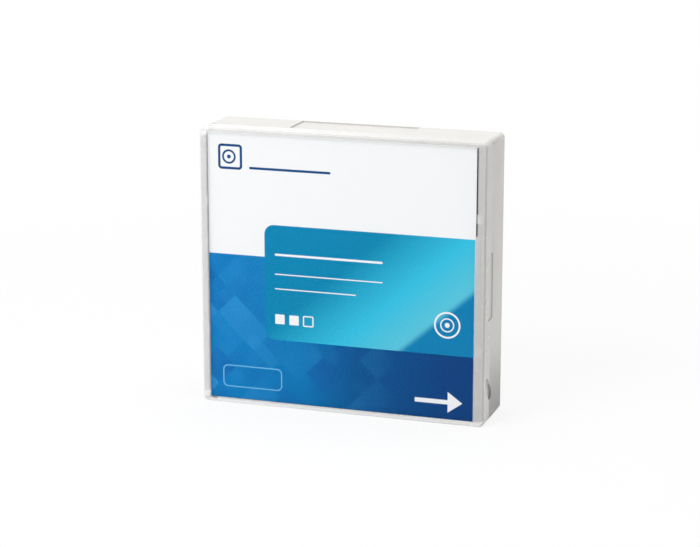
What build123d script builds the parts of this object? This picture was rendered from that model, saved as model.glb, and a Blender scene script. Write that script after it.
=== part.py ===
from build123d import *
import os
from math import acos, atan2, degrees, hypot, radians, tan

# Data tape cartridge in a hinged storage case, in millimetres.
# X runs right, Y to the rear, Z up. The origin is the middle of the case's base.
# A height h below is measured towards the front, so h = -Y.

# Storage case
case_width = 118.0
case_height = 113.0
case_depth = 27.0
case_corner = 2.0
case_edge = 0.6
case_wall = 1.5
lid_depth = 8.5
lid_face = 1.5
tray_back = 1.6
lip_thickness = 1.1
lip_reach = 3.5
lip_root_depth = 2.0
spine_step = 1.5
fit_gap = 0.3
over = 1.0  # how far a cut runs past the face that it opens

# Hinge of the lid
hinge_inset = 3.6
hinge_setback = 3.7
ear_radius = 1.6
ear_thickness = 1.5
ear_strap = 2.4
ear_root = 4.0
foot_length = 2.6
foot_clearance = 0.4
pin_radius = 1.0
pin_clearance = 0.05
pin_recess = 0.2
sweep_clearance = 0.12

# Latch, nail recess and grips of the case
latch_centre = 55.0
latch_height = 26.0
latch_reach = 2.5
latch_root = 0.5
latch_back = 3.0
latch_relief = 0.4
nail_slot_z = 14.0
nail_slot_setback = 6.8
nail_slot_sink = 0.7
nail_slot_length = 12.0
nail_slot_width = 4.6
nail_slot_tilt = -48.0
grip_width = 49.0
grip_setback = 1.5
grip_back_margin = 1.0
grip_sink = 0.6

# Insert card
card_thickness = 0.3
card_side_gap = 1.5
card_far_gap = 2.9
card_end_gap = 0.2
card_front_gap = 0.1
tab_height = 3.5
tab_reach = 1.0
tab_thickness = 0.7
tab_offset = 26.5

# Room that the case leaves round the cartridge, and the ribs that hold it there
cart_hinge_gap = 9.0
cart_side_gap = 0.7
cart_end_gap = 5.5
cart_front_gap = 1.2
seat_height = 0.8
seat_margin = 8.0
seat_inset = 4.0
cross_entry = 0.8
cross_clearance = 1.0
rib = 1.2
rib_near = 12.0
rib_middle = 32.0
rib_far = 40.0

# Cartridge shells
cart_corner = 3.0
cart_edge = 0.5
shell_wall = 1.8
shell_plate = 1.6
hub_opening = 18.5
ridge_pitch = 3.2
ridge_count = 6
ridge_depth = 0.6
ridge_from_top = 16.0
ridge_side_margin = 20.7
field_sink = 0.4
field_corner = 4.0
field_side_margin = 12.7
field_base_margin = 8.0
field_top_margin = 34.0
label_sink = 0.3
label_side_margin = 12.7
label_slot_margin = 4.5

# Reel
hub_radius = 22.0
hub_wall = 3.0
reel_side_gap = 1.7
reel_head_gap = 2.65
flange_thickness = 1.2
pack_margin = 3.0
pack_fit = 0.05
tape_clearance = 0.15
web_thickness = 2.0
drive_teeth = 60
brake_teeth = 24
drive_inner = 13.8
drive_outer = 17.0
drive_recess = 0.8
drive_flank = 0.45
brake_inner = 9.0
brake_outer = 11.5
brake_tooth_height = 1.0
brake_flank = 1.05
foot_share = 0.93
clutch_radius = 12.5
clutch_thickness = 0.5

# Brake and release pad
brake_engagement = 0.44
brake_travel = 1.5
button_radius = 17.0
button_thickness = 1.4
socket_head_gap = 5.9
socket_floor = 0.7
socket_wall = 1.0
key_length = 8.4
key_width = 2.4
key_clearance = 0.25
spring_radius = 9.2
spring_wire = 0.45
spring_turns = 4
spring_steps = 12
spring_end_gap = 0.05
leg_count = 3
leg_radius = 15.4
leg_depth = 2.6
leg_width = 3.0
leg_tip_recess = 1.1
pad_inner = 12.2
pad_outer = 18.2
pad_thickness = 1.2

# Leader pin, its clips and the end of the tape
pin_from_side = 7.2
pin_from_end = 11.0
pin_shank = 1.6
pin_end = 2.4
pin_end_length = 0.5
leaf_thickness = 0.4
leaf_wire = 0.35
leaf_play = 0.1
leaf_tail = 2.4
tape_clip_wall = 0.6
tape_clip_play = 0.15
tape_clip_mouth = 2.0
film_thickness = 0.2
film_wrap_angle = 40.0
seat_wall = 1.2

# Access door
window_from_end = 4.7
window_length = 19.0
window_margin = 2.3
door_thickness = 1.3
door_overlap = 1.3
door_end_gap = 0.4
door_travel = 21.0
groove_depth = 0.6
groove_width = 1.2
groove_margin = 3.3
rail_thickness = 0.8
rail_height = 1.2
door_spring_radius = 0.75
door_spring_wire = 0.22
door_spring_turns = 7
door_spring_steps = 8
door_spring_from_shell = 6.0
door_spring_end = 33.0
stop_thickness = 1.4
stop_width = 3.2
stop_reach = 0.6

# Screws, write tab and memory chip
screw_inset = 5.6
screw_step = 18.0
screw_radius = 1.25
screw_head = 2.5
screw_head_height = 1.6
screw_sink = 0.4
screw_tip_gap = 4.9
thread_fit = 0.02
core_floor = 1.0
boss_width = 6.2
write_slot_inset = 26.7
tab_slot_length = 11.0
tab_slot_width = 4.0
write_button = 5.0
write_plate = 1.1
write_plate_lead = 3.5
write_plate_tail = 7.5
write_plate_gap = 1.15
chip_inset = 6.0
chip_length = 13.0
chip_height = 8.0
chip_thickness = 1.0
pocket_wall = 0.9
pocket_height = 3.0

# Places in the case, worked out from the sizes above
right = case_width / 2
left = -right
front = case_depth / 2
back = -front
parting = front - lid_depth
lid_inner = front - lid_face
tray_inner = back + tray_back
spine_front = parting + spine_step
lip_outer = case_wall + fit_gap
lip_inner = lip_outer + lip_thickness
lip_root = parting - lip_root_depth
nail_slot_h = front - nail_slot_setback
latch_top = latch_centre + latch_height / 2
latch_base = latch_centre - latch_height / 2
hinge_x = left + hinge_inset
hinge_h = front - hinge_setback
lid_corner_radii = (
    hypot(hinge_inset, hinge_setback),
    hypot(hinge_inset, hinge_h - spine_front),
    hypot(hinge_inset - case_wall, hinge_h - parting),
)
sweep_radius = max(lid_corner_radii) + sweep_clearance
card_front = lid_inner - card_front_gap
card_back = card_front - card_thickness

# Places in the cartridge
cart_left = left + cart_hinge_gap
cart_right = right - lip_inner - cart_side_gap
cart_base = cart_end_gap
cart_top = case_height - cart_end_gap
cart_back = tray_inner + seat_height
cart_front = card_back - cart_front_gap
cart_width = cart_right - cart_left
cart_length = cart_top - cart_base
cart_x = (cart_left + cart_right) / 2
cart_z = (cart_base + cart_top) / 2
cart_thickness = cart_front - cart_back
cart_split = (cart_back + cart_front) / 2
in_back = cart_back + shell_plate
in_front = cart_front - shell_plate

# Places of the reel and its brake
door_outer = cart_right - shell_wall - fit_gap
door_inner = door_outer - door_thickness
flange_radius = min(cart_length / 2 - shell_wall, door_inner - cart_x) - reel_side_gap
pack_radius = flange_radius - pack_margin
flange_base = in_back + fit_gap
flange_top = flange_base + flange_thickness
hub_top = in_front - reel_head_gap - flange_thickness
tape_base = flange_top + tape_clearance
tape_width = hub_top - tape_clearance - tape_base
hub_inner = hub_radius - hub_wall
web_top = flange_base + web_thickness
drive_tip = cart_back + drive_recess
brake_tip = web_top + brake_tooth_height
pad_base = web_top + fit_gap
button_base = pad_base + pad_thickness + fit_gap
button_top = button_base + button_thickness
button_tip = brake_tip - brake_engagement
socket_top = in_front - socket_head_gap
key_tip = button_base + socket_floor + brake_travel + fit_gap

# Places of the leader pin, the door and the small pieces
pin_x = cart_right - pin_from_side
pin_z = cart_base + pin_from_end
pin_base = in_back + fit_gap
pin_top = in_front - fit_gap
door_x = (door_outer + door_inner) / 2
window_base = cart_base + window_from_end
window_top = window_base + window_length
door_base = window_base - door_overlap
door_top = window_top + door_overlap
door_spring_h = in_back + door_spring_from_shell
stop_z = cart_top - door_spring_end
head_base = cart_back + screw_sink
head_top = head_base + screw_head_height
screw_places = (
    (cart_right - screw_inset, cart_top - screw_inset),
    (cart_left + screw_step, cart_top - screw_inset),
    (cart_left + screw_inset, cart_base + screw_inset),
    (cart_right - screw_step, cart_base + screw_inset),
)
write_slot_x = cart_right - write_slot_inset
write_slot_h = (in_back + cart_split) / 2
write_plate_top = cart_top - shell_wall - fit_gap
chip_x = cart_left + shell_wall + chip_inset
chip_z = cart_top - shell_wall - chip_inset

reel_plane = Plane(origin=(cart_x, 0, cart_z), x_dir=(1, 0, 0), z_dir=(0, -1, 0))
reel_profile = Plane(origin=(cart_x, 0, cart_z), x_dir=(1, 0, 0), z_dir=(0, 0, -1))
reel_axis = Axis((cart_x, 0, cart_z), (0, -1, 0))
pin_plane = Plane(origin=(pin_x, 0, pin_z), x_dir=(1, 0, 0), z_dir=(0, -1, 0))


def level(h):
    """The plane at height h, with X to the right and Z up."""
    return Plane.XZ.offset(h)


def slab(x0, x1, z0, z1, h0, h1, mode=Mode.ADD):
    """A rectangular rib, wall or cut between two heights."""
    with BuildSketch(level(h0)) as outline:
        with Locations(((x0 + x1) / 2, (z0 + z1) / 2)):
            Rectangle(x1 - x0, z1 - z0)
    extrude(outline.sketch, amount=h1 - h0, mode=mode)


def disc(plane, h0, h1, radius, inner=0.0, mode=Mode.ADD):
    """A disc or ring about a plane's origin, between two heights."""
    with BuildSketch(plane.offset(h0)) as outline:
        Circle(radius)
        if inner > 0:
            Circle(inner, mode=Mode.SUBTRACT)
    extrude(outline.sketch, amount=h1 - h0, mode=mode)


def case_box(h0, h1):
    """The case's rounded outline, solid between two heights."""
    with BuildSketch(level(h0)) as outline:
        with Locations((0, case_height / 2)):
            RectangleRounded(case_width, case_height, case_corner)
    extrude(outline.sketch, amount=h1 - h0)


def case_hollow(h0, h1):
    """The room inside the case's side walls, cut out between two heights."""
    slab(left + case_wall, right - case_wall, case_wall, case_height - case_wall, h0, h1, Mode.SUBTRACT)


def nail_recess():
    """The slanted recess at the opening side that the lid and the tray share."""
    with BuildSketch(Plane.YZ.offset(right - nail_slot_sink)) as outline:
        with Locations(Location((-nail_slot_h, nail_slot_z), nail_slot_tilt)):
            SlotOverall(nail_slot_length, nail_slot_width)
    extrude(outline.sketch, amount=nail_slot_sink + over, mode=Mode.SUBTRACT)


os.makedirs("parts", exist_ok=True)

# Case lid: a shallow clear box, open at the rear, whose left wall stops short for the hinge
with BuildPart() as case_lid:
    case_box(parting, front)
    chamfer(case_lid.faces().sort_by(Axis.Y)[0].edges(), case_edge)
    case_hollow(parting, lid_inner)
    slab(
        left - over,
        left + lip_outer,
        -over,
        case_height + over,
        parting - over,
        spine_front,
        mode=Mode.SUBTRACT,
    )
    # Slits in the left wall that let the ears through as the lid turns
    ear_band = ear_thickness + 2 * fit_gap
    for band_base in (case_wall, case_height - case_wall - ear_band):
        slab(
            left - over,
            left + case_wall,
            band_base,
            band_base + ear_band,
            parting - over,
            lid_inner,
            mode=Mode.SUBTRACT,
        )
    # Tabs behind the card's edges
    tab_front = card_back - fit_gap / 2
    tab_spans = (
        (left + case_wall, left + case_wall + card_side_gap + tab_reach),
        (right - case_wall - card_far_gap - tab_reach, right - case_wall),
    )
    for tab_z in (case_height / 2 - tab_offset, case_height / 2 + tab_offset):
        for tab_left, tab_right in tab_spans:
            slab(
                tab_left,
                tab_right,
                tab_z - tab_height / 2,
                tab_z + tab_height / 2,
                tab_front - tab_thickness,
                tab_front,
            )
    # Notch for the tray's latch tongue
    slab(
        right - case_wall - over,
        right + over,
        latch_base - fit_gap,
        latch_top + fit_gap,
        parting - over,
        parting + latch_reach + fit_gap,
        mode=Mode.SUBTRACT,
    )
    # Hinge holes
    with BuildSketch(Plane.XY.offset(-over)):
        with Locations((hinge_x, -hinge_h)):
            Circle(pin_radius + pin_clearance)
    extrude(amount=case_height + 2 * over, mode=Mode.SUBTRACT)
    nail_recess()
case_lid.part.label = "case_lid"
export_step(case_lid.part, "parts/case_lid.step")

# Case tray: rear shell with the lip, ears, latch tongue and the seats of the cartridge
with BuildPart() as case_tray:
    case_box(back, parting)
    chamfer(case_tray.faces().sort_by(Axis.Y)[-1].edges(), case_edge)
    case_hollow(tray_inner, parting)
    # The left wall reaches past the parting line, up to the lid's shorter wall
    slab(left, left + case_wall, case_corner, case_height - case_corner, parting, spine_front)
    # Lip inside the lid's top, right and bottom walls
    lip_start = hinge_x + sweep_radius + fit_gap
    lip_front = parting + lip_reach
    slab(lip_start, right - lip_inner, lip_outer, lip_inner, lip_root, lip_front)
    for lip_base in (lip_outer, case_height - lip_inner):
        slab(lip_start, right - lip_outer, lip_base, lip_base + lip_thickness, lip_root, lip_front)
    slab(right - lip_inner, right - lip_outer, lip_outer, case_height - lip_outer, lip_root, lip_front)
    for root_base in (case_wall, case_height - lip_outer):
        slab(lip_start, right - case_wall, root_base, root_base + fit_gap, lip_root, parting)
    slab(right - lip_outer, right - case_wall, case_wall, case_height - case_wall, lip_root, parting)
    # Room for the lid's corner to swing about the hinge
    with BuildSketch(Plane.XY.offset(-over)):
        with Locations((hinge_x, -hinge_h)):
            Circle(sweep_radius)
    extrude(amount=case_height + 2 * over, mode=Mode.SUBTRACT)
    # Ears with the hinge pins: a strap on the tray's end wall, an eye and a pin through the lid
    for wall_z, inward in ((0, 1), (case_height, -1)):
        ear_plane = Plane.XY.offset(wall_z + inward * lip_outer)
        strap_x = hinge_x + ear_strap / 2
        strap_root = -parting + ear_root
        foot_start = -hinge_h + sweep_radius + foot_clearance
        with BuildSketch(ear_plane):
            with Locations((hinge_x, -hinge_h)):
                Circle(ear_radius)
            with Locations((strap_x, (strap_root - hinge_h) / 2)):
                Rectangle(ear_strap, strap_root + hinge_h)
        extrude(amount=inward * ear_thickness)
        with BuildSketch(ear_plane):
            with Locations((strap_x, foot_start + foot_length / 2)):
                Rectangle(ear_strap, foot_length)
        extrude(amount=-inward * fit_gap)
        with BuildSketch(ear_plane):
            with Locations((hinge_x, -hinge_h)):
                Circle(pin_radius)
        extrude(amount=-inward * (lip_outer - pin_recess))
    # Latch tongue that fills the lid's notch, with a relief around it
    slab(
        right - case_wall,
        right - latch_relief,
        latch_base,
        latch_top,
        parting - latch_root,
        parting + latch_reach,
    )
    slab(right - lip_inner, right - case_wall, latch_base, latch_top, parting, parting + latch_reach)
    slab(
        right - latch_relief,
        right + over,
        latch_base - fit_gap,
        latch_top + fit_gap,
        parting - latch_back,
        parting + over,
        mode=Mode.SUBTRACT,
    )
    nail_recess()
    # Grips: the top and bottom walls step inwards
    grip_front = parting - grip_setback
    grip_half = grip_width / 2
    for inner_base, outer_base in (
        (case_wall, -over),
        (case_height - case_wall - grip_sink, case_height - grip_sink),
    ):
        slab(
            -grip_half - case_wall,
            grip_half + case_wall,
            inner_base,
            inner_base + grip_sink,
            tray_inner,
            grip_front + case_wall,
        )
        slab(
            -grip_half,
            grip_half,
            outer_base,
            outer_base + grip_sink + over,
            back + grip_back_margin,
            grip_front,
            mode=Mode.SUBTRACT,
        )
    # Ribs that locate the cartridge
    rib_front = lip_root - fit_gap
    for step in (-rib_far, -rib_middle, rib_middle, rib_far):
        rib_x = cart_x + step
        slab(rib_x, rib_x + rib, case_wall, cart_base, tray_inner, rib_front)
        slab(rib_x, rib_x + rib, cart_top + fit_gap, case_height - case_wall, tray_inner, rib_front)
    for step in (-rib_middle, -rib_near, rib_near, rib_middle):
        rib_z = cart_z + step
        slab(left + case_wall, cart_left - fit_gap, rib_z, rib_z + rib, tray_inner, rib_front)
        slab(cart_right + fit_gap, right - case_wall, rib_z, rib_z + rib, tray_inner, rib_front)
    # Seats on the rear wall, and the cross that enters the hub opening
    for seat_z in (cart_base + seat_inset, cart_top - seat_inset - rib):
        slab(cart_left + seat_margin, cart_right - seat_margin, seat_z, seat_z + rib, tray_inner, cart_back)
    cross_length = 2 * (hub_opening - cross_clearance)
    with BuildSketch(reel_plane.offset(tray_inner)):
        Rectangle(cross_length, rib)
        Rectangle(rib, cross_length)
    extrude(amount=cart_back + cross_entry - tray_inner)
case_tray.part.label = "case_tray"
export_step(case_tray.part, "parts/case_tray.step")

# Insert card: one printed sheet that lies against the lid's front wall
with BuildPart() as insert_card:
    slab(
        left + case_wall + card_side_gap,
        right - case_wall - card_far_gap,
        case_wall + card_end_gap,
        case_height - case_wall - card_end_gap,
        card_back,
        card_front,
    )
insert_card.part.label = "insert_card"
export_step(insert_card.part, "parts/insert_card.step")


def shell_body(outer_h, inner_h):
    """A shell half: a rounded box, hollowed from the split plane."""
    with BuildSketch(level(cart_split)) as outline:
        with Locations((cart_x, cart_z)):
            RectangleRounded(cart_width, cart_length, cart_corner)
    body = extrude(outline.sketch, amount=outer_h - cart_split)
    ends = body.faces().sort_by(Axis.Y)
    outer_face = ends[0] if outer_h > cart_split else ends[-1]
    chamfer(outer_face.edges(), cart_edge)
    slab(
        cart_left + shell_wall,
        cart_right - shell_wall,
        cart_base + shell_wall,
        cart_top - shell_wall,
        cart_split,
        inner_h,
        mode=Mode.SUBTRACT,
    )


def screw_bosses(inner_h):
    """Square bosses between a shell's plate and the split plane."""
    with BuildSketch(level(inner_h)) as outline:
        with Locations(*screw_places):
            Rectangle(boss_width, boss_width)
    extrude(outline.sketch, amount=cart_split - inner_h)


def screw_cores(h0, h1, radius):
    """Six-sided cores for the screws, whose flats lie at the given radius."""
    with BuildSketch(level(h0)) as outline:
        with Locations(*screw_places):
            RegularPolygon(radius, 6, major_radius=False)
    extrude(outline.sketch, amount=h1 - h0, mode=Mode.SUBTRACT)


def label_recess(h0, h1):
    """The shallow label field on the end face."""
    slab(
        cart_left + label_side_margin,
        write_slot_x - tab_slot_length / 2 - label_slot_margin,
        cart_top - label_sink,
        cart_top + over,
        h0,
        h1,
        mode=Mode.SUBTRACT,
    )


def door_side(inner_h, inward):
    """Window, door rails and pin seat that both halves have; inward points into the cartridge."""
    seat_inner = pin_end + fit_gap
    seat_outer = seat_inner + seat_wall
    seat_end = door_inner - fit_gap
    seat_h = inner_h + inward * (fit_gap + pin_end_length)
    slab(pin_x - seat_outer, seat_end, pin_z - seat_outer, pin_z + seat_outer, inner_h, seat_h)
    slab(
        pin_x - seat_inner,
        seat_end + over,
        pin_z - seat_inner,
        pin_z + seat_inner,
        inner_h,
        seat_h,
        mode=Mode.SUBTRACT,
    )
    for rail_base, rail_top in (
        (cart_base + shell_wall, pin_z - seat_outer),
        (pin_z + seat_outer, door_top + door_travel + over),
    ):
        slab(
            seat_end - rail_thickness,
            seat_end,
            rail_base,
            rail_top,
            inner_h,
            inner_h + inward * rail_height,
        )
    slab(
        cart_right - shell_wall - over / 2,
        cart_right + over,
        window_base,
        window_top,
        inner_h + inward * window_margin,
        inner_h + inward * cart_thickness,
        mode=Mode.SUBTRACT,
    )


# Upper shell: front half of the cartridge
with BuildPart() as upper_shell:
    shell_body(cart_front, in_front)
    screw_bosses(in_front)
    screw_cores(cart_split, in_front - core_floor, screw_radius)
    # Cross key that guides the brake button
    with BuildSketch(reel_plane.offset(in_front)):
        Rectangle(key_length, key_width)
        Rectangle(key_width, key_length)
    extrude(amount=key_tip - in_front)
    door_side(in_front, -1)
    # Shallow label field and finger ridges on the front face
    field_base = cart_base + field_base_margin
    field_top = cart_top - field_top_margin
    with BuildSketch(level(cart_front)):
        with Locations((cart_x, (field_base + field_top) / 2)):
            RectangleRounded(cart_width - 2 * field_side_margin, field_top - field_base, field_corner)
    extrude(amount=-field_sink, mode=Mode.SUBTRACT)
    with BuildSketch(level(cart_front)):
        with Locations((cart_x, cart_top - ridge_from_top)):
            with GridLocations(0, ridge_pitch, 1, ridge_count):
                Rectangle(cart_width - 2 * ridge_side_margin, ridge_pitch / 2)
    extrude(amount=-ridge_depth, mode=Mode.SUBTRACT)
    label_recess(cart_split - over, in_front)
upper_shell.part.label = "upper_shell"
export_step(upper_shell.part, "parts/upper_shell.step")

# Lower shell: rear half of the cartridge, with the hub opening
with BuildPart() as lower_shell:
    shell_body(cart_back, in_back)
    screw_bosses(in_back)
    screw_cores(cart_back, cart_split, screw_radius + fit_gap)
    with BuildSketch(level(cart_back)):
        with Locations(*screw_places):
            Circle(screw_head + fit_gap)
    extrude(amount=head_top - cart_back, mode=Mode.SUBTRACT)
    disc(reel_plane, cart_back - over, in_back + over, hub_opening, mode=Mode.SUBTRACT)
    door_side(in_back, 1)
    # Stop of the door's spring
    slab(
        door_inner - stop_reach,
        cart_right - shell_wall,
        stop_z,
        stop_z + stop_thickness,
        door_spring_h - stop_width / 2,
        door_spring_h + stop_width / 2,
    )
    # Slot of the write-protect tab, and the guide rib behind its plate
    slab(
        write_slot_x - tab_slot_length / 2,
        write_slot_x + tab_slot_length / 2,
        cart_top - shell_wall - over / 2,
        cart_top + over,
        write_slot_h - tab_slot_width / 2,
        write_slot_h + tab_slot_width / 2,
        mode=Mode.SUBTRACT,
    )
    guide_z = write_plate_top - write_plate - fit_gap
    slab(
        write_slot_x - tab_slot_length,
        write_slot_x + tab_slot_length,
        guide_z - rail_thickness,
        guide_z,
        in_back,
        in_back + rail_height,
    )
    # Pocket that holds the memory chip at 45 degrees in the corner
    slot_length = chip_length + 2 * fit_gap
    slot_width = chip_thickness + 2 * fit_gap
    with BuildSketch(level(in_back)):
        with Locations(Location((chip_x, chip_z), 45)):
            Rectangle(slot_length + 2 * pocket_wall, slot_width + 2 * pocket_wall)
            Rectangle(slot_length, slot_width, mode=Mode.SUBTRACT)
    extrude(amount=pocket_height)
    label_recess(in_back, cart_split + over)
lower_shell.part.label = "lower_shell"
export_step(lower_shell.part, "parts/lower_shell.step")

# Screws that hold the halves together
with BuildPart() as shell_screws:
    with BuildSketch(level(head_base)):
        with Locations(*screw_places):
            Circle(screw_head)
    extrude(amount=screw_head_height)
    with BuildSketch(level(head_top)):
        with Locations(*screw_places):
            Circle(screw_radius - thread_fit)
    extrude(amount=in_front - screw_tip_gap - head_top)
shell_screws.part.label = "shell_screws"
export_step(shell_screws.part, "parts/shell_screws.step")


def face_tooth(root, tip, run, inner, outer, count):
    """One tooth of a face ring, from its root to its tip; run is the slope of each flank."""
    ends = []
    for radius in (inner, outer):
        foot = radius * tan(radians(180 / count * foot_share))
        ends.append(
            [
                (radius, -foot, root),
                (radius, foot, root),
                (radius, foot - run, tip),
                (radius, run - foot, tip),
            ]
        )
    near, far = ends
    faces = [Face(Wire.make_polygon(near)), Face(Wire.make_polygon(far))]
    for start in range(4):
        end = (start + 1) % 4
        faces.append(Face(Wire.make_polygon([near[start], near[end], far[end], far[start]])))
    return Solid(Shell(faces))


drive_tooth = face_tooth(flange_base, drive_tip, drive_flank, drive_inner, drive_outer, drive_teeth)
hub_tooth = face_tooth(web_top, brake_tip, brake_flank, brake_inner, brake_outer, brake_teeth)
button_tooth = face_tooth(button_base, button_tip, brake_flank, brake_inner, brake_outer, brake_teeth)

# The drive ring leaves out the teeth where the release legs come through
teeth_per_leg = drive_teeth // leg_count
drive_places = [
    Location((0, 0, 0), (0, 0, step * 360 / drive_teeth))
    for step in range(drive_teeth)
    if 1 < step % teeth_per_leg < teeth_per_leg - 1
]

# Reel hub: hub, lower flange, drive teeth and brake teeth in one moulding
with BuildPart(reel_plane) as reel_hub:
    with BuildSketch(reel_profile):
        with BuildLine():
            Polyline(
                (0, flange_base),
                (flange_radius, flange_base),
                (flange_radius, flange_top),
                (hub_radius, flange_top),
                (hub_radius, hub_top),
                (hub_inner, hub_top),
                (hub_inner, web_top),
                (0, web_top),
                close=True,
            )
        make_face()
    revolve(axis=reel_axis)
    with Locations(*drive_places):
        add(drive_tooth)
    with PolarLocations(0, brake_teeth):
        add(hub_tooth)
    # Holes for the legs of the release pad
    with BuildSketch(reel_plane.offset(flange_base - over)):
        with PolarLocations(leg_radius, leg_count):
            Rectangle(leg_depth + 2 * fit_gap, leg_width + 2 * fit_gap)
    extrude(amount=web_thickness + 2 * over, mode=Mode.SUBTRACT)
reel_hub.part.label = "reel_hub"
export_step(reel_hub.part, "parts/reel_hub.step")

# Upper flange, seated on the hub's end
with BuildPart() as reel_upper_flange:
    disc(reel_plane, hub_top, hub_top + flange_thickness, flange_radius, hub_inner)
reel_upper_flange.part.label = "reel_upper_flange"
export_step(reel_upper_flange.part, "parts/reel_upper_flange.step")

# Steel clutch plate bonded under the web
with BuildPart() as clutch_plate:
    disc(reel_plane, flange_base - clutch_thickness, flange_base, clutch_radius)
clutch_plate.part.label = "clutch_plate"
export_step(clutch_plate.part, "parts/clutch_plate.step")

# Wound tape between the flanges
with BuildPart() as tape_pack:
    disc(reel_plane, tape_base, tape_base + tape_width, pack_radius, hub_radius + pack_fit)
tape_pack.part.label = "tape_pack"
export_step(tape_pack.part, "parts/tape_pack.step")

# Outer end of the tape: it lies round the pack and leads to the clip on the leader pin
tape_clip_inner = pin_shank + tape_clip_play
tape_clip_outer = tape_clip_inner + tape_clip_wall
film_radius = pack_radius + fit_gap + film_thickness / 2
pin_distance = hypot(pin_x - cart_x, pin_z - cart_z)
pin_angle = degrees(atan2(pin_z - cart_z, pin_x - cart_x))
leave_angle = pin_angle + degrees(acos(film_radius / pin_distance))
film_share = 1 - (tape_clip_outer + fit_gap) / pin_distance
film_end = ((pin_x - cart_x) * film_share, (pin_z - cart_z) * film_share)
with BuildPart() as leader_tape:
    with BuildSketch(reel_plane.offset(tape_base)):
        with BuildLine():
            wrap = CenterArc((0, 0), film_radius, leave_angle, film_wrap_angle)
            Line(wrap @ 0, film_end)
        trace(line_width=film_thickness)
    extrude(amount=tape_width)
leader_tape.part.label = "leader_tape"
export_step(leader_tape.part, "parts/leader_tape.step")

# Leader pin: a turned steel pin with a collar at each end
with BuildPart() as leader_pin:
    disc(pin_plane, pin_base, pin_top, pin_shank)
    disc(pin_plane, pin_base, pin_base + pin_end_length, pin_end)
    disc(pin_plane, pin_top - pin_end_length, pin_top, pin_end)
leader_pin.part.label = "leader_pin"
export_step(leader_pin.part, "parts/leader_pin.step")

# Channel clip that holds the tape on the pin, its mouth towards the reel
with BuildPart() as tape_clip:
    with BuildSketch(pin_plane.offset(tape_base)):
        Circle(tape_clip_outer)
        Circle(tape_clip_inner, mode=Mode.SUBTRACT)
        with Locations(Location((0, 0), 180 + pin_angle)):
            with Locations((tape_clip_outer, 0)):
                Rectangle(2 * tape_clip_outer, tape_clip_mouth, mode=Mode.SUBTRACT)
    extrude(amount=tape_width)
tape_clip.part.label = "tape_clip"
export_step(tape_clip.part, "parts/tape_clip.step")


def pin_clip(clip_h):
    """A sprung leaf folded round the pin's shank, open to the window, with a tail that anchors it."""
    inner = pin_shank + leaf_play
    outer = inner + leaf_wire
    with BuildSketch(pin_plane.offset(clip_h)) as leaf:
        Rectangle(2 * outer, 2 * outer)
        Rectangle(2 * inner, 2 * inner, mode=Mode.SUBTRACT)
        with Locations((inner, 0)):
            Rectangle(2 * inner, 2 * inner, mode=Mode.SUBTRACT)
        with Locations((-outer - leaf_tail / 2, 0)):
            Rectangle(leaf_tail, leaf_wire)
    extrude(leaf.sketch, amount=leaf_thickness)


with BuildPart() as pin_clip_rear:
    pin_clip(pin_base + pin_end_length + leaf_play)
pin_clip_rear.part.label = "pin_clip_rear"
export_step(pin_clip_rear.part, "parts/pin_clip_rear.step")

with BuildPart() as pin_clip_front:
    pin_clip(pin_top - pin_end_length - leaf_play - leaf_thickness)
pin_clip_front.part.label = "pin_clip_front"
export_step(pin_clip_front.part, "parts/pin_clip_front.step")

# Access door that slides along the side wall
with BuildPart() as access_door:
    slab(door_inner, door_outer, door_base, door_top, in_back + door_end_gap, in_front - door_end_gap)
    # Groove in which a drive pulls the door
    slab(
        door_outer - groove_depth,
        door_outer + over,
        window_base + groove_depth,
        window_base + groove_depth + groove_width,
        in_back + groove_margin,
        in_front - groove_margin,
        mode=Mode.SUBTRACT,
    )
access_door.part.label = "access_door"
export_step(access_door.part, "parts/access_door.step")


def coil(start, direction, length, turns, steps, radius, wire):
    """A compression spring along direction: a six-sided bar that follows the helix in short steps."""
    helix = Edge.make_helix(length / turns, length, radius, start, direction)
    stations = turns * steps
    with BuildLine() as centreline:
        Polyline(*[helix @ (station / stations) for station in range(stations + 1)])
    with BuildSketch(Plane(origin=centreline.line @ 0, z_dir=centreline.line % 0)) as section:
        RegularPolygon(wire, 6)
    sweep(section.sketch, path=centreline.line, transition=Transition.RIGHT)


with BuildPart() as door_spring:
    end_gap = door_spring_wire + spring_end_gap
    coil(
        (door_x, -door_spring_h, door_top + end_gap),
        (0, 0, 1),
        stop_z - door_top - 2 * end_gap,
        door_spring_turns,
        door_spring_steps,
        door_spring_radius,
        door_spring_wire,
    )
door_spring.part.label = "door_spring"
export_step(door_spring.part, "parts/door_spring.step")

# Brake button: a toothed disc with a cross socket on the upper shell's key
with BuildPart(reel_plane) as brake_button:
    disc(reel_plane, button_base, button_top, button_radius)
    socket_length = key_length + 2 * key_clearance
    socket_width = key_width + 2 * key_clearance
    with BuildSketch(reel_plane.offset(button_top)):
        Rectangle(socket_length + 2 * socket_wall, socket_width + 2 * socket_wall)
        Rectangle(socket_width + 2 * socket_wall, socket_length + 2 * socket_wall)
    extrude(amount=socket_top - button_top)
    with BuildSketch(reel_plane.offset(button_base + socket_floor)):
        Rectangle(socket_length, socket_width)
        Rectangle(socket_width, socket_length)
    extrude(amount=socket_top - button_base, mode=Mode.SUBTRACT)
    # Teeth that stand half a pitch off the hub's, to mesh with them
    with PolarLocations(0, brake_teeth, start_angle=180 / brake_teeth):
        add(button_tooth)
brake_button.part.label = "brake_button"
export_step(brake_button.part, "parts/brake_button.step")

with BuildPart() as brake_spring:
    end_gap = spring_wire + spring_end_gap
    coil(
        (cart_x, -(button_top + end_gap), cart_z),
        (0, -1, 0),
        in_front - button_top - 2 * end_gap,
        spring_turns,
        spring_steps,
        spring_radius,
        spring_wire,
    )
brake_spring.part.label = "brake_spring"
export_step(brake_spring.part, "parts/brake_spring.step")

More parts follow.
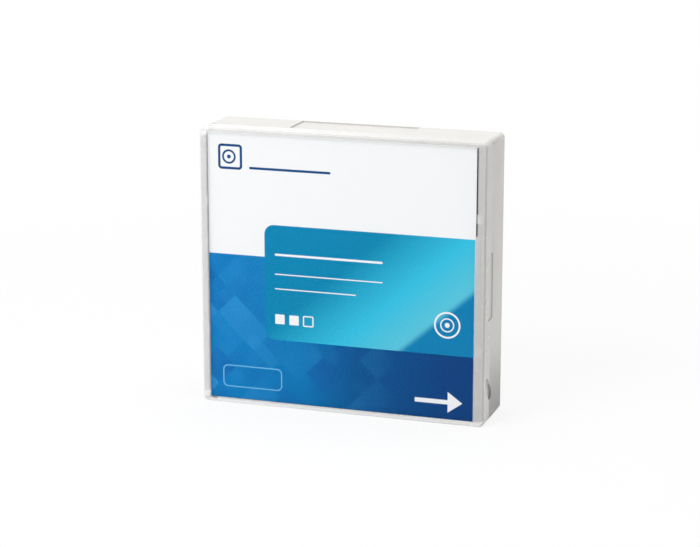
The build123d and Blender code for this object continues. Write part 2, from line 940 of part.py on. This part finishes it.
# Release pad: a six-sided ring under the button with three legs through the hub's web
with BuildPart() as release_pad:
    with BuildSketch(reel_plane.offset(pad_base)):
        RegularPolygon(pad_outer, 6)
        RegularPolygon(pad_inner, 6, major_radius=False, mode=Mode.SUBTRACT)
    extrude(amount=pad_thickness)
    leg_tip = cart_back + leg_tip_recess
    with BuildSketch(reel_plane.offset(leg_tip)):
        with PolarLocations(leg_radius, leg_count):
            Rectangle(leg_depth, leg_width)
    extrude(amount=pad_base - leg_tip)
release_pad.part.label = "release_pad"
export_step(release_pad.part, "parts/release_pad.step")

# Write-protect tab: a plate inside the wall with its button in the slot
with BuildPart() as write_protect_tab:
    button_left = write_slot_x - tab_slot_length / 2 + fit_gap
    slab(
        button_left - write_plate_lead,
        button_left + write_button + write_plate_tail,
        write_plate_top - write_plate,
        write_plate_top,
        in_back + fit_gap,
        cart_split - write_plate_gap,
    )
    slab(
        button_left,
        button_left + write_button,
        write_plate_top,
        cart_top - fit_gap,
        write_slot_h - tab_slot_width / 2 + fit_gap,
        write_slot_h + tab_slot_width / 2 - fit_gap,
    )
write_protect_tab.part.label = "write_protect_tab"
export_step(write_protect_tab.part, "parts/write_protect_tab.step")

# Memory chip board in its corner pocket
with BuildPart() as memory_chip:
    with BuildSketch(level(in_back)):
        with Locations(Location((chip_x, chip_z), 45)):
            Rectangle(chip_length, chip_thickness)
    extrude(amount=chip_height)
memory_chip.part.label = "memory_chip"
export_step(memory_chip.part, "parts/memory_chip.step")
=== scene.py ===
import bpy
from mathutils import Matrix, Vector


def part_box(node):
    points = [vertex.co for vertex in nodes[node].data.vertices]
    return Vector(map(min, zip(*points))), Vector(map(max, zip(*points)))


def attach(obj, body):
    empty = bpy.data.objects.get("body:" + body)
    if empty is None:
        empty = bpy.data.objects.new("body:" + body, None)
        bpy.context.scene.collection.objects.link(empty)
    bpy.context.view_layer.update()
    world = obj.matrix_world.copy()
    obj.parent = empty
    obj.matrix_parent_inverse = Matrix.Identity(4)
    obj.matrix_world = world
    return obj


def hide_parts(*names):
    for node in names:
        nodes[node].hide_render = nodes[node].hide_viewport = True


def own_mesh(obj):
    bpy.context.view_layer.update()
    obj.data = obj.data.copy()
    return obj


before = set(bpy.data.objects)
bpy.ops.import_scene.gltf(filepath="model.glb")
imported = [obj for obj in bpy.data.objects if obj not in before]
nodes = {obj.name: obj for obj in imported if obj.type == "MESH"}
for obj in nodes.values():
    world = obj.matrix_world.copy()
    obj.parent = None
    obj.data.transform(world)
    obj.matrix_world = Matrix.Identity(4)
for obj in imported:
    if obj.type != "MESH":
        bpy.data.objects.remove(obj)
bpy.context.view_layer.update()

import math
import bpy
import bmesh
from mathutils import Vector

mm = 0.001


def point(x, y, z):
    return Vector((x * mm, y * mm, z * mm))


def rgb(r, g, b):
    # display values from 0 to 255 turned into linear light
    def linear(v):
        v /= 255
        return v / 12.92 if v <= 0.04045 else ((v + 0.055) / 1.055) ** 2.4
    return (linear(r), linear(g), linear(b), 1.0)


def place(name, data):
    piece = bpy.data.objects.new(name, data)
    bpy.context.scene.collection.objects.link(piece)
    return piece


# camera, from the photograph's perspective
cameraSet = {
    "azimuth": 18.337,
    "elevation": 14.038,
    "target": (-0.5, 0.3, 54.5),  # mm, near the middle of the case
    "distance": 863.2,
    "lens": 110.98,
}


def makeCamera(settings):
    turn = math.radians(settings["azimuth"])
    rise = math.radians(settings["elevation"])
    back = Vector((math.sin(turn) * math.cos(rise), -math.cos(turn) * math.cos(rise), math.sin(rise)))
    data = bpy.data.cameras.new("camera")
    data.lens = settings["lens"]
    data.sensor_width = 36
    data.clip_start = 0.01
    data.clip_end = 20
    camera = place("camera", data)
    camera.location = point(*settings["target"]) + back * settings["distance"] * mm
    camera.rotation_euler = back.to_track_quat("Z", "Y").to_euler()
    bpy.context.scene.camera = camera


makeCamera(cameraSet)
bpy.context.scene.view_settings.view_transform = "Standard"
print("stage: camera")


# node helpers
class Graph:
    def __init__(self, holder):
        holder.use_nodes = True
        self.tree = holder.node_tree
        self.tree.nodes.clear()

    def add(self, kind, **properties):
        node = self.tree.nodes.new("ShaderNode" + kind)
        for name, value in properties.items():
            setattr(node, name, value)
        return node

    def put(self, socket, value):
        if isinstance(value, bpy.types.NodeSocket):
            self.tree.links.new(value, socket)
        elif value is not None:
            socket.default_value = value

    def feed(self, sockets, *values):
        for socket, value in zip(sockets, values):
            self.put(socket, value)

    def math(self, operation, a, b=None, c=None):
        node = self.add("Math", operation=operation)
        self.feed(node.inputs, a, b, c)
        return node.outputs[0]


class Shade(Graph):
    def __init__(self, name):
        self.material = bpy.data.materials.new(name)
        super().__init__(self.material)
        self.main = self.add("BsdfPrincipled")
        self.put(self.add("OutputMaterial").inputs[0], self.main.outputs[0])
        self.place = self.add("TexCoord").outputs["Object"]
        split = self.add("SeparateXYZ")
        self.put(split.inputs[0], self.place)
        self.x, self.y, self.z = split.outputs

    def set(self, name, value):
        self.put(self.main.inputs[name], value)

    def ramp(self, value, low, high, fromLow=0.0, fromHigh=1.0):
        node = self.add("MapRange", interpolation_type="SMOOTHSTEP")
        self.feed(node.inputs, value, fromLow, fromHigh, low, high)
        return node.outputs[0]

    def spread(self, noise, low, high):
        # noise keeps near its middle, so that part is widened
        return self.ramp(noise, low, high, 0.3, 0.7)

    def below(self, value, edge, soft):
        # 1 under the edge, 0 over it
        return self.ramp(value, 1.0, 0.0, edge - soft, edge + soft)

    def blend(self, amount, a, b):
        node = self.add("Mix")
        self.feed((node.inputs[0], node.inputs[2], node.inputs[3]), amount, a, b)
        return node.outputs[0]

    def mix(self, amount, a, b):
        node = self.add("Mix", data_type="RGBA")
        self.feed((node.inputs[0], node.inputs[6], node.inputs[7]), amount, a, b)
        return node.outputs[2]

    def stops(self, value, colours):
        node = self.add("ValToRGB")
        bar = node.color_ramp.elements
        while len(bar) < len(colours):
            bar.new(0.5)
        for element, (position, colour) in zip(bar, colours):
            element.position = position
            element.color = colour
        self.put(node.inputs[0], value)
        return node.outputs[0]

    def join(self, x, y):
        node = self.add("CombineXYZ")
        self.feed(node.inputs, x, y)
        return node.outputs[0]

    def noise(self, scale, detail=3.0, rough=0.55, stretch=(1, 1, 1), at=None):
        mapping = self.add("Mapping")
        self.put(mapping.inputs["Scale"], stretch)
        self.put(mapping.inputs["Vector"], at or self.place)
        node = self.add("TexNoise")
        self.put(node.inputs["Scale"], scale)
        self.put(node.inputs["Detail"], detail)
        self.put(node.inputs["Roughness"], rough)
        self.put(node.inputs["Vector"], mapping.outputs[0])
        return node.outputs[0]

    def cells(self, across, along):
        # one random value for each whole step of the two coordinates
        node = self.add("TexWhiteNoise", noise_dimensions="2D")
        step = self.join(self.math("FLOOR", across), self.math("FLOOR", along))
        self.put(node.inputs["Vector"], step)
        return node.outputs["Value"]

    def facing(self):
        node = self.add("LayerWeight")
        self.put(node.inputs["Blend"], 0.5)
        return node.outputs["Facing"]

    def bump(self, height, distance, strength):
        node = self.add("Bump")
        self.put(node.inputs["Strength"], strength)
        self.put(node.inputs["Distance"], distance)
        self.put(node.inputs["Height"], height)
        self.set("Normal", node.outputs[0])

    # flat shapes in X and Z, as signed distances from their edges
    def length(self, a, b):
        return self.math("SQRT", self.math("ADD", self.math("MULTIPLY", a, a), self.math("MULTIPLY", b, b)))

    def fromCentre(self, centre):
        dx = self.math("SUBTRACT", self.x, centre[0])
        dz = self.math("SUBTRACT", self.z, centre[1])
        return self.length(dx, dz)

    def roundedBox(self, centre, half, radius):
        past = []
        for axis, middle, reach in zip((self.x, self.z), centre, half):
            away = self.math("ABSOLUTE", self.math("SUBTRACT", axis, middle))
            past.append(self.math("SUBTRACT", away, reach - radius))
        outside = self.length(*(self.math("MAXIMUM", value, 0.0) for value in past))
        inside = self.math("MINIMUM", self.math("MAXIMUM", *past), 0.0)
        return self.math("SUBTRACT", self.math("ADD", outside, inside), radius)

    def plate(self, x, z, halfWidth, halfHeight, radius):
        # a rounded box given in mm
        return self.roundedBox((x * mm, z * mm), (halfWidth * mm, halfHeight * mm), radius * mm)

    def disc(self, x, z, radius):
        # a disc given in mm
        return self.math("SUBTRACT", self.fromCentre((x * mm, z * mm)), radius * mm)

    def outline(self, distance, width):
        return self.math("SUBTRACT", self.math("ABSOLUTE", distance), width / 2 * mm)

    def together(self, *distances):
        whole = distances[0]
        for distance in distances[1:]:
            whole = self.math("MINIMUM", whole, distance)
        return whole


def dress(names, shade):
    for name in names:
        slots = nodes[name].data.materials
        slots.clear()
        slots.append(shade.material)


# clear lid: open over the card, milky in its rim and side walls
lidSet = {
    "hingeLitTone": rgb(252, 252, 251),  # painted light and shade: the rim is painted palest at the hinge side, towards the key lamp
    "latchShadeTone": rgb(232, 231, 229),
    "cloud": rgb(222, 221, 220),
    "cloudShare": 0.25,
    "wallAlpha": (0.46, 0.90),  # seen square on, seen along the wall
    "cloudAlpha": 0.015,
    "clearAlpha": 0.002,
    "clearGleam": 0.9,  # the clear window whitens when seen along it
    "clearRoughness": 0.06,
    "frontDepth": 1.9 * mm,
    "cardMargin": (0.08 * mm, 0.1 * mm),
    "slitWidth": 0.95 * mm,  # clear line beside the card's right edge
    "slitBase": 76.5 * mm,
    "soft": 0.12 * mm,
    "roughness": (0.24, 0.32),
    "ior": 1.49,
}


def lidMaterial(settings):
    s = Shade("clearLid")
    low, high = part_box("case_lid")
    cardLow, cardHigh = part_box("insert_card")
    middle, reach = (cardLow + cardHigh) / 2, (cardHigh - cardLow) / 2
    marginX, marginZ = settings["cardMargin"]
    card = s.roundedBox((middle.x, middle.z), (reach.x + marginX, reach.z + marginZ), 0.6 * mm)
    slit = s.roundedBox(
        (cardHigh.x, (settings["slitBase"] + cardHigh.z) / 2),
        (settings["slitWidth"], (cardHigh.z - settings["slitBase"]) / 2),
        0.2 * mm,
    )
    overCard = s.below(s.together(card, slit), 0.0, settings["soft"])
    inFront = s.below(s.y, low.y + settings["frontDepth"], 0.1 * mm)
    clear = s.math("MULTIPLY", overCard, inFront)
    facing = s.facing()
    cloudAlpha = s.spread(s.noise(40, 2), -settings["cloudAlpha"], settings["cloudAlpha"])
    wall = s.math("ADD", s.ramp(facing, *settings["wallAlpha"], 0.0, 0.95), cloudAlpha)
    alongGlass = s.math("POWER", facing, 5.0)
    glass = s.math("MULTIPLY_ADD", alongGlass, settings["clearGleam"], settings["clearAlpha"])
    s.set("Alpha", s.blend(clear, wall, glass))
    # painted light and shade: the rim's tone runs from lit at the hinge side to shaded at the latch side
    toLatchShade = s.ramp(s.x, 0.0, 1.0, low.x, high.x)
    tone = s.mix(toLatchShade, settings["hingeLitTone"], settings["latchShadeTone"])
    tone = s.mix(s.spread(s.noise(35, 2), 0.0, settings["cloudShare"]), tone, settings["cloud"])
    s.set("Base Color", s.mix(clear, tone, (0.9, 0.9, 0.9, 1)))
    s.set("Metallic", clear)
    rough = s.spread(s.noise(90, 2), *settings["roughness"])
    s.set("Roughness", s.blend(clear, rough, settings["clearRoughness"]))
    s.set("IOR", settings["ior"])
    return s


# translucent tray
traySet = {
    "tone": rgb(224, 222, 218),
    "deepTone": rgb(219, 217, 213),
    # painted shade: the tray is darker towards its foot, where the floor's shade falls
    "footShadeTone": rgb(158, 155, 152),
    "footShadeHeight": 34.0 * mm,
    "rimShadeTone": rgb(150, 147, 144),  # painted shade: the lowest edge is thick and is darkened for the shadow beneath it
    "rimHeight": 2.4 * mm,
    "rimSoft": 1.5 * mm,
    "rimAlpha": 0.985,
    "alpha": (0.62, 0.96),
    "cloudAlpha": 0.012,
    "roughness": (0.34, 0.44),
    "ior": 1.49,
}


def trayMaterial(settings):
    s = Shade("frostedTray")
    flow = s.noise(28, 3, 0.5, (1, 1, 0.2))
    tone = s.mix(s.spread(flow, 0.0, 1.0), settings["deepTone"], settings["tone"])
    # painted shade: darker towards the foot
    tone = s.mix(s.ramp(s.z, 1.0, 0.0, 0.0, settings["footShadeHeight"]), tone, settings["footShadeTone"])
    # painted shade along the lowest edge, which is also made nearly opaque
    atShadedRim = s.below(s.z, settings["rimHeight"], settings["rimSoft"])
    s.set("Base Color", s.mix(atShadedRim, tone, settings["rimShadeTone"]))
    alpha = s.ramp(s.facing(), *settings["alpha"], 0.0, 0.95)
    cloudAlpha = s.spread(s.noise(60, 4, 0.6), -settings["cloudAlpha"], settings["cloudAlpha"])
    s.set("Alpha", s.blend(atShadedRim, s.math("ADD", alpha, cloudAlpha), settings["rimAlpha"]))
    s.set("Roughness", s.spread(s.noise(120, 2), *settings["roughness"]))
    s.set("IOR", settings["ior"])
    s.bump(s.noise(1500, 2), 0.008 * mm, 0.08)
    return s


# printed card: plain fields of colour and simple shapes
cardSet = {
    "white": rgb(241, 242, 243),
    "ink": rgb(20, 74, 128),
    "line": rgb(112, 190, 228),
    "blues": [
        (0.03, rgb(12, 126, 192)),
        (0.36, rgb(0, 116, 178)),
        (0.56, rgb(0, 84, 144)),
        (0.90, rgb(6, 64, 126)),
    ],
    "lattice": [(15.0 * mm, 0.30), (7.5 * mm, 0.12)],  # pitch and strength
    "latticeLight": rgb(60, 160, 220),
    "latticeDark": rgb(22, 60, 150),
    "fieldTop": 61.8 * mm,
    "teals": [  # from the upper left towards the gleam's edge
        (0.0, rgb(0, 132, 179)),
        (0.35, rgb(0, 133, 176)),
        (0.72, rgb(52, 190, 222)),
        (1.0, rgb(92, 196, 218)),
    ],
    "shade": rgb(6, 126, 178),
    "gleamSlope": 0.873,
    "gleamEdge": -6.67 * mm,
    "gleamWidth": 80.0 * mm,
    "gleamSoft": 2.2 * mm,
    # plates in mm: centre in X and Z, half width, half height, corner radius
    "panel": (20.0, 51.4, 52.3, 23.6, 4.0),
    "icon": (-46.5, 101.5, 4.6, 4.6, 1.0),
    "rule": (-21.5, 97.4, 17.0, 0.5, 0.5),
    "bars": [
        (-5.5, 63.0, 22.5, 0.45, 0.45),
        (-5.5, 55.0, 22.5, 0.22, 0.22),
        (-11.0, 49.0, 17.0, 0.22, 0.22),
    ],
    "squares": [(-26.0, 36.5, 2.0, 2.0, 0.4), (-20.0, 36.5, 2.0, 2.0, 0.4)],
    "openSquare": (-14.0, 36.5, 2.0, 2.0, 0.4),
    "box": (-38.0, 11.0, 12.5, 4.4, 2.0),
    "arrowTail": (37.5, 8.6, 7.0, 0.9, 0.2),
    "arrowBack": 44.0 * mm,
    "arrowTip": 50.0 * mm,
    "arrowSlope": 1.4,
    # centres in mm
    "iconReel": (-47.0, 101.5),
    "reel": (43.5, 40.0),
    "edge": 0.1 * mm,
    "printDepth": 0.12 * mm,
    "board": (rgb(222, 221, 216), rgb(236, 235, 231)),
    "coating": rgb(160, 168, 176),
}


def blueField(s, settings, across):
    # a lattice of diamonds that fades to the right
    blue = s.stops(across, settings["blues"])
    total = s.math("ADD", s.x, s.z)
    difference = s.math("SUBTRACT", s.x, s.z)
    fade = s.ramp(across, 1.0, 0.0, 0.3, 0.8)
    for pitch, strength in settings["lattice"]:
        tone = s.cells(s.math("DIVIDE", total, pitch), s.math("DIVIDE", difference, pitch))
        lighter = s.math("MULTIPLY", s.ramp(tone, 0.0, strength, 0.55, 1.0), fade)
        darker = s.math("MULTIPLY", s.ramp(tone, strength, 0.0, 0.0, 0.45), fade)
        blue = s.mix(lighter, blue, settings["latticeLight"])
        blue = s.mix(darker, blue, settings["latticeDark"])
    return blue


def tealPanel(s, settings):
    # a gleam crosses it on a slant
    slant = s.math("MULTIPLY_ADD", s.x, settings["gleamSlope"], s.math("MULTIPLY", s.z, -1.0))
    before = s.math("SUBTRACT", settings["gleamEdge"], slant)
    run = s.math("SUBTRACT", 1.0, s.math("DIVIDE", before, settings["gleamWidth"]))
    teal = s.stops(run, settings["teals"])
    return s.mix(s.below(before, 0.0, settings["gleamSoft"]), teal, settings["shade"])


def inkShapes(s, settings):
    # cartridge pictogram and rule in the white field
    return s.together(
        s.outline(s.plate(*settings["icon"]), 1.0),
        s.outline(s.disc(*settings["iconReel"], 2.5), 0.8),
        s.disc(*settings["iconReel"], 0.8),
        s.plate(*settings["rule"]),
    )


def whiteShapes(s, settings):
    # write-on rules, tick squares, reel pictogram and arrow
    middle = settings["arrowTail"][1] * mm
    height = s.math("ABSOLUTE", s.math("SUBTRACT", s.z, middle))
    slope = s.math("MULTIPLY_ADD", height, settings["arrowSlope"], s.x)
    return s.together(
        *(s.plate(*bar) for bar in settings["bars"]),
        *(s.plate(*square) for square in settings["squares"]),
        s.outline(s.plate(*settings["openSquare"]), 0.5),
        s.outline(s.disc(*settings["reel"], 5.0), 0.7),
        s.outline(s.disc(*settings["reel"], 2.6), 0.5),
        s.disc(*settings["reel"], 1.0),
        s.plate(*settings["arrowTail"]),
        s.math(
            "MAXIMUM",
            s.math("SUBTRACT", slope, settings["arrowTip"]),
            s.math("SUBTRACT", settings["arrowBack"], s.x),
        ),
    )


def cardMaterial(settings):
    s = Shade("printedCard")
    low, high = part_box("insert_card")
    edge = settings["edge"]
    across = s.math("DIVIDE", s.math("SUBTRACT", s.x, low.x), high.x - low.x)
    blue = blueField(s, settings, across)
    colour = s.mix(s.below(s.z, settings["fieldTop"], edge), settings["white"], blue)
    colour = s.mix(s.below(s.plate(*settings["panel"]), 0.0, edge), colour, tealPanel(s, settings))
    for shapes, tone in (
        (inkShapes(s, settings), settings["ink"]),
        (whiteShapes(s, settings), settings["white"]),
        (s.outline(s.plate(*settings["box"]), 0.45), settings["line"]),
    ):
        colour = s.mix(s.below(shapes, 0.0, edge), colour, tone)

    # bare board on the back and the cut edges
    printed = s.below(s.y, low.y + settings["printDepth"], 0.02 * mm)
    fibre = s.noise(1800, 3, 0.6, (1, 1, 0.5))
    board = s.mix(s.spread(fibre, 0.0, 1.0), *settings["board"])
    coated = s.mix(s.spread(fibre, 0.0, 0.012), colour, settings["coating"])
    s.set("Base Color", s.mix(printed, board, coated))
    s.set("Roughness", s.blend(printed, 0.85, s.spread(s.noise(900, 2), 0.5, 0.6)))
    s.set("Specular IOR Level", 0.04)
    s.bump(fibre, 0.004 * mm, 0.1)
    return s


dress(["case_lid"], lidMaterial(lidSet))
dress(["case_tray"], trayMaterial(traySet))
dress(["insert_card"], cardMaterial(cardSet))


# moulded plastics, with faint flow marks and a fine grit
plasticSets = [
    {
        "name": "shellBlack",
        "nodes": ("upper_shell", "lower_shell"),
        "tones": (rgb(34, 34, 36), rgb(46, 46, 49)),
        "rough": 0.55,
    },
    {
        "name": "doorGrey",
        "nodes": ("access_door",),
        "tones": (rgb(62, 63, 66), rgb(74, 75, 78)),
        "rough": 0.45,
    },
    {
        "name": "reelNatural",
        "nodes": ("reel_hub", "reel_upper_flange"),
        "tones": (rgb(196, 198, 196), rgb(214, 216, 214)),
        "rough": 0.4,
    },
    {
        "name": "acetalWhite",
        "nodes": ("brake_button", "release_pad", "tape_clip"),
        "tones": (rgb(222, 221, 215), rgb(234, 233, 228)),
        "rough": 0.35,
    },
    {
        "name": "tabRed",
        "nodes": ("write_protect_tab",),
        "tones": (rgb(168, 40, 30), rgb(186, 50, 38)),
        "rough": 0.4,
    },
    {
        "name": "boardGreen",
        "nodes": ("memory_chip",),
        "tones": (rgb(34, 92, 56), rgb(46, 110, 68)),
        "rough": 0.35,
    },
    {
        "name": "tapeFilm",
        "nodes": ("leader_tape",),
        "tones": (rgb(38, 32, 30), rgb(54, 46, 43)),
        "rough": 0.22,
    },
]


def plasticMaterial(settings):
    s = Shade(settings["name"])
    flow = s.spread(s.noise(60, 2), 0.0, 0.35)
    grit = s.ramp(s.noise(2240, 3, 0.6), 0.0, 0.65, 0.35, 0.65)
    s.set("Base Color", s.mix(s.math("ADD", flow, grit), *settings["tones"]))
    s.set("Roughness", s.spread(s.noise(260, 3), settings["rough"] - 0.07, settings["rough"] + 0.09))
    s.bump(s.noise(3200, 2, 0.7), 0.03 * mm, 0.35)
    return s


for settings in plasticSets:
    dress(settings["nodes"], plasticMaterial(settings))


# wound tape: the edges of its turns show as fine rings
tapeSet = {"tones": (rgb(34, 29, 27), rgb(66, 57, 52)), "turns": 5200, "along": 300.0}


def tapeMaterial(settings):
    s = Shade("woundTape")
    low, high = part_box("tape_pack")
    radius = s.fromCentre(((low.x + high.x) / 2, (low.z + high.z) / 2))
    outward = s.math("MULTIPLY", radius, settings["turns"])
    turns = s.noise(1.0, 4.0, 0.5, at=s.join(outward, s.math("MULTIPLY", s.y, settings["along"])))
    s.set("Base Color", s.mix(s.spread(turns, 0.0, 1.0), *settings["tones"]))
    s.set("Roughness", s.spread(turns, 0.22, 0.4))
    s.bump(turns, 0.02 * mm, 0.4)
    return s


dress(["tape_pack"], tapeMaterial(tapeSet))


# turned steel and drawn wire, with fine tool lines
steelSet = {
    "name": "turnedSteel",
    "nodes": ("clutch_plate", "leader_pin", "shell_screws"),
    "tones": (rgb(168, 170, 173), rgb(200, 202, 205)),
    "rough": 0.28,
    "stretch": (1, 14, 1),
}
wireSet = {
    "name": "springWire",
    "nodes": ("door_spring", "brake_spring", "pin_clip_rear", "pin_clip_front"),
    "tones": (rgb(178, 180, 184), rgb(208, 210, 214)),
    "rough": 0.2,
    "stretch": (1, 1, 1),
}


def metalMaterial(settings):
    s = Shade(settings["name"])
    s.set("Metallic", 1.0)
    lines = s.noise(900, 3, 0.6, settings["stretch"])
    s.set("Base Color", s.mix(s.spread(lines, 0.0, 1.0), *settings["tones"]))
    s.set("Roughness", s.spread(lines, settings["rough"] - 0.06, settings["rough"] + 0.08))
    s.bump(lines, 0.01 * mm, 0.3)
    return s


wireShade = metalMaterial(wireSet)
dress(steelSet["nodes"], metalMaterial(steelSet))
dress(wireSet["nodes"], wireShade)
print("stage: materials")


# springs of round wire with closed ends
springSets = [
    {
        "name": "brakeSpringWire",
        "node": "brake_spring",
        "body": "brake",
        "joint": "brake_lift",
        "along": 1,  # index of the axis
        "toFixed": -1,  # side of its fixed end on that axis
        "travel": 1.5 * mm,
        "wire": 0.45 * mm,
        "turns": 4,
    },
    {
        "name": "doorSpringWire",
        "node": "door_spring",
        "body": "door",
        "joint": "door_slide",
        "along": 2,
        "toFixed": 1,
        "travel": 21.0 * mm,
        "wire": 0.22 * mm,
        "turns": 11,
    },
]
wireSides = 10
turnSteps = 32


def coilPoint(settings, low, high, turn):
    # centreline of the wire, with its first and last turns closed
    along, wire, turns = settings["along"], settings["wire"], settings["turns"]
    first, second = (axis for axis in range(3) if axis != along)
    radius = (high[first] - low[first]) / 2 - wire
    start, end = low[along] + wire, high[along] - wire
    closed = 2.1 * wire
    pitch = (end - start - 2 * closed) / (turns - 2)
    centre = (low + high) / 2
    if turn < 1:
        centre[along] = start + closed * turn
    elif turn > turns - 1:
        centre[along] = end - closed * (turns - turn)
    else:
        centre[along] = start + closed + pitch * (turn - 1)
    centre[first] += radius * math.cos(2 * math.pi * turn)
    centre[second] += radius * math.sin(2 * math.pi * turn)
    return centre


def wireRing(mesh, settings, low, high, axis, turn):
    # a ring of points square to the centreline
    before = coilPoint(settings, low, high, max(turn - 0.01, 0))
    after = coilPoint(settings, low, high, min(turn + 0.01, settings["turns"]))
    tangent = (after - before).normalized()
    side = tangent.cross(axis).normalized()
    other = tangent.cross(side)
    centre = coilPoint(settings, low, high, turn)
    ring = []
    for step in range(wireSides):
        angle = 2 * math.pi * step / wireSides
        offset = math.cos(angle) * side + math.sin(angle) * other
        ring.append(mesh.verts.new(centre + settings["wire"] * offset))
    return ring


def makeSpring(settings):
    low, high = (Vector(corner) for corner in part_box(settings["node"]))
    along = settings["along"]
    direction = Vector((0, 0, 0))
    direction[along] = 1
    mesh = bmesh.new()
    rings = [
        wireRing(mesh, settings, low, high, direction, station / turnSteps)
        for station in range(settings["turns"] * turnSteps + 1)
    ]
    for ring, following in zip(rings, rings[1:]):
        for step in range(wireSides):
            before = step - 1
            mesh.faces.new((ring[before], ring[step], following[step], following[before]))
    mesh.faces.new(rings[0])
    mesh.faces.new(rings[-1])
    bmesh.ops.recalc_face_normals(mesh, faces=mesh.faces)
    for face in mesh.faces:
        face.smooth = len(face.verts) == 4
    data = bpy.data.meshes.new(settings["name"])
    mesh.to_mesh(data)
    mesh.free()
    data.materials.append(wireShade.material)
    spring = place(settings["name"], data)
    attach(spring, settings["body"])
    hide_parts(settings["node"])
    moving = (low + high) / 2
    moving[along] = low[along] if settings["toFixed"] > 0 else high[along]
    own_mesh(spring)


for settings in springSets:
    makeSpring(settings)
print("stage: springs")


# moulded edges are slightly rounded, widths in mm
edgeSet = {
    "case_lid": 0.22,
    "case_tray": 0.22,
    "upper_shell": 0.2,
    "lower_shell": 0.2,
    "access_door": 0.15,
    "write_protect_tab": 0.12,
    "brake_button": 0.12,
    "release_pad": 0.12,
}


def softenEdges(settings):
    for name, width in settings.items():
        piece = nodes[name]
        weld = piece.modifiers.new("weld", "WELD")
        weld.merge_threshold = 0.002 * mm
        bevel = piece.modifiers.new("roundedEdges", "BEVEL")
        bevel.width = width * mm
        bevel.segments = 2
        bevel.limit_method = "ANGLE"
        bevel.angle_limit = math.radians(40)
        bevel.use_clamp_overlap = True


softenEdges(edgeSet)
print("stage: edges")


# floor, backdrop and lights
white = (1, 1, 1, 1)
stageSet = {
    "size": 6.0,
    "tone": (0.86, 0.86, 0.86, 1.0),
    "nearShare": 0.84,  # how far the floor near the case is plain white to the camera
    "near": 0.12,
    "far": 0.45,
}
worldSet = {"soft": 0.46, "plain": 1.0}
lampSet = [
    {"name": "keyLamp", "place": (-450, -800, 700), "size": 600, "power": 6.3},
    {"name": "topLamp", "place": (0, 50, 900), "size": 700, "power": 4.0},
]


def seenPlain(graph):
    # 1 for what the camera, a gloss or a clear wall shows
    path = graph.add("LightPath")
    seen = path.outputs["Is Camera Ray"]
    for name in ("Is Glossy Ray", "Is Transmission Ray"):
        seen = graph.math("MAXIMUM", seen, path.outputs[name])
    return seen


def makeFloor(settings):
    mesh = bmesh.new()
    bmesh.ops.create_grid(mesh, x_segments=1, y_segments=1, size=settings["size"] / 2)
    data = bpy.data.meshes.new("floor")
    mesh.to_mesh(data)
    mesh.free()
    material = bpy.data.materials.new("floorWhite")
    data.materials.append(material)
    graph = Graph(material)
    diffuse = graph.add("BsdfDiffuse")
    graph.put(diffuse.inputs[0], settings["tone"])
    glow = graph.add("Emission")
    graph.put(glow.inputs[0], white)
    length = graph.add("VectorMath", operation="LENGTH")
    graph.put(length.inputs[0], graph.add("TexCoord").outputs["Object"])
    away = graph.add("MapRange")
    fade = (settings["near"], settings["far"], settings["nearShare"], 1.0)
    graph.feed(away.inputs, length.outputs["Value"], *fade)
    share = graph.math("MULTIPLY", seenPlain(graph), away.outputs[0])
    blend = graph.add("MixShader")
    graph.feed(blend.inputs, share, diffuse.outputs[0], glow.outputs[0])
    graph.put(graph.add("OutputMaterial").inputs[0], blend.outputs[0])
    place("floor", data)


def makeWorld(settings):
    world = bpy.data.worlds.new("studio")
    bpy.context.scene.world = world
    graph = Graph(world)
    soft = graph.add("Background")
    graph.feed(soft.inputs, white, settings["soft"])
    plain = graph.add("Background")
    graph.feed(plain.inputs, white, settings["plain"])
    blend = graph.add("MixShader")
    graph.feed(blend.inputs, seenPlain(graph), soft.outputs[0], plain.outputs[0])
    graph.put(graph.add("OutputWorld").inputs[0], blend.outputs[0])


def makeLamp(settings, aim):
    data = bpy.data.lights.new(settings["name"], "AREA")
    data.energy = settings["power"]
    data.size = settings["size"] * mm
    lamp = place(settings["name"], data)
    lamp.location = point(*settings["place"])
    lamp.rotation_euler = (lamp.location - aim).to_track_quat("Z", "Y").to_euler()


makeFloor(stageSet)
makeWorld(worldSet)
for settings in lampSet:
    makeLamp(settings, point(0, 0, 56))
print("stage: studio")
